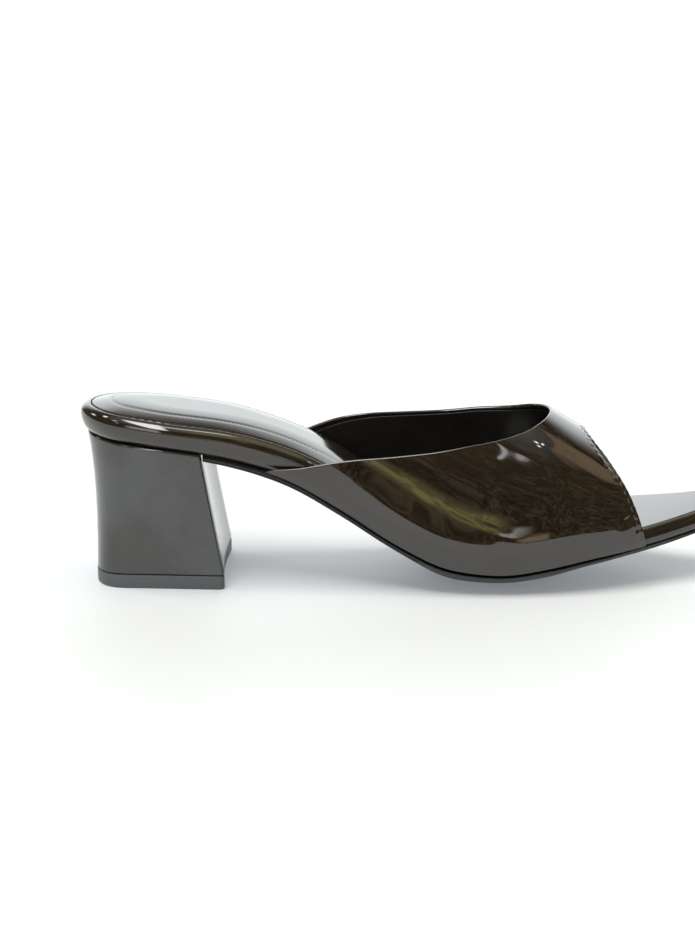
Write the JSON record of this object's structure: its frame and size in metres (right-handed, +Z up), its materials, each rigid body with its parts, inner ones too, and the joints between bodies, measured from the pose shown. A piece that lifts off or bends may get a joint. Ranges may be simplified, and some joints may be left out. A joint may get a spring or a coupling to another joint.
{
  "type": "block heel mule",
  "caption": "Open-toe slip-on mule with a wide vamp, rolled-rim footbed, thin outsole and covered block heel on a rubber tip; right shoe, standing empty on its sole.",
  "frame": {"origin": "on the floor under the middle of the shoe's bounding box", "axes": "+X towards the toe, +Y towards the medial side, +Z up from the floor"},
  "size_m": [0.244, 0.0778, 0.0623],
  "materials": {
    "upper_patent": "high-gloss patent, very dark brown",
    "footbed_patent": "high-gloss patent wrap, very dark brown",
    "heel_patent": "high-gloss patent cover, very dark brown",
    "outsole_rubber": "satin, charcoal grey",
    "tip_rubber": "satin, slate grey",
    "lining": "matt, near black",
    "thread": "twisted thread, near black"
  },
  "bodies": {
    "root": {"upper": "upper_patent", "footbed": "footbed_patent", "insole": "footbed_patent", "outsole": "outsole_rubber", "heel": "heel_patent", "heel_tip": "tip_rubber"}
  },
  "joints": []
}
